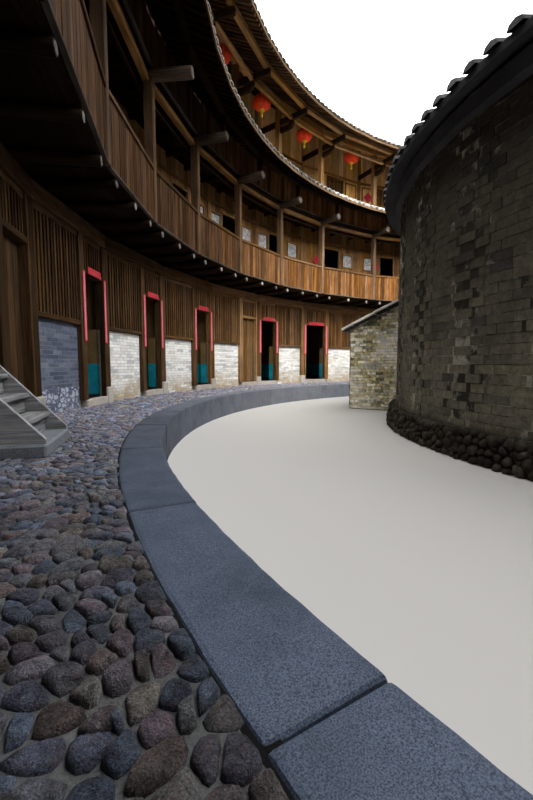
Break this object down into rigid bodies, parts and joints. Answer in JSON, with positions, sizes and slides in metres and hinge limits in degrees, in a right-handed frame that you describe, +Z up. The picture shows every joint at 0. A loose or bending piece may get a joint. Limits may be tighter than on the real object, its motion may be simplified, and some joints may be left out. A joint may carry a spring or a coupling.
{
  "type": "tulou roundhouse",
  "caption": "Round earthen roundhouse with timber galleries on three storeys, a ringed court, a low round brick building and its annex, two opening plank doors",
  "frame": {"origin": "centre of the rings, on the level of the court, at the underside of the footings", "axes": "+Z up; +Y from the centre towards the gate; +X completes a right-handed frame; the ring's wide hall bay is on -Y"},
  "size_m": [35.3, 35.3, 10.3703],
  "materials": {
    "dark_timber": "weathered brown softwood, matte, with grain and smoke darkening",
    "sunlit_timber": "golden brown softwood posts, rails and boards, lightly oiled by handling",
    "plank_door": "yellow-brown varnished planks",
    "pale_brick": "grey-blue brick, partly limewashed, stained at the foot",
    "dark_brick": "dark weathered grey-brown brick with pale worn joints",
    "roof_tile": "unglazed grey clay tiles, dusty",
    "cut_stone": "dressed granite, worn smooth on top",
    "field_stone": "river cobbles and rubble in grey and rust tones",
    "rammed_earth": "ochre rammed earth with lift lines"
  },
  "bodies": {
    "house": {"court_kerb": "cut_stone", "stone_footing": "cut_stone", "gate_surround": "cut_stone", "earth_wall_south_east": "rammed_earth", "earth_wall_north_east": "rammed_earth", "earth_wall_north_west": "rammed_earth", "earth_wall_south_west": "rammed_earth", "walkway_plinth_east": "field_stone", "brick_dado_east": "pale_brick", "kitchen_front_east": "dark_timber", "second_floor_east": "dark_timber", "second_parapet_east": "sunlit_timber", "second_frame_east": "sunlit_timber", "second_room_wall_east": "dark_timber", "third_floor_east": "dark_timber", "third_parapet_east": "dark_timber", "third_frame_east": "sunlit_timber", "third_room_wall_east": "dark_timber", "waist_eave_east": "roof_tile", "inner_slope_east": "roof_tile", "outer_slope_east": "roof_tile", "walkway_plinth_west": "field_stone", "brick_dado_west": "pale_brick", "kitchen_front_west": "dark_timber", "second_floor_west": "dark_timber", "second_parapet_west": "sunlit_timber", "second_frame_west": "sunlit_timber", "second_room_wall_west": "dark_timber", "third_floor_west": "dark_timber", "third_parapet_west": "dark_timber", "third_frame_west": "sunlit_timber", "third_room_wall_west": "dark_timber", "waist_eave_west": "roof_tile", "inner_slope_west": "roof_tile", "outer_slope_west": "roof_tile", "eave_purlin": "sunlit_timber", "roof_ridge": "roof_tile", "inner_ring_wall": "dark_brick", "inner_yard_wall": "dark_brick", "inner_ring_roof": "roof_tile", "inner_ring_footing": "field_stone", "annex_walls": "field_stone", "annex_roof": "cut_stone", "stair_base": "cut_stone", "stair_flight": "dark_timber"},
    "plank_door_leaf": {"plank_door": "plank_door"},
    "stair_bay_door_leaf": {"stair_bay_door": "dark_timber"}
  },
  "joints": [
    {"name": "plank_door_hinge", "type": "hinge", "parent": "house", "child": "plank_door_leaf", "pos_m": [3.55838, -10.50904, 1.46], "axis": [0, 0, -1], "range_deg": [0, 90]},
    {"name": "stair_bay_door_hinge", "type": "hinge", "parent": "house", "child": "stair_bay_door_leaf", "pos_m": [9.8936, -5.01613, 1.46], "axis": [0, 0, -1], "range_deg": [0, 90]}
  ]
}
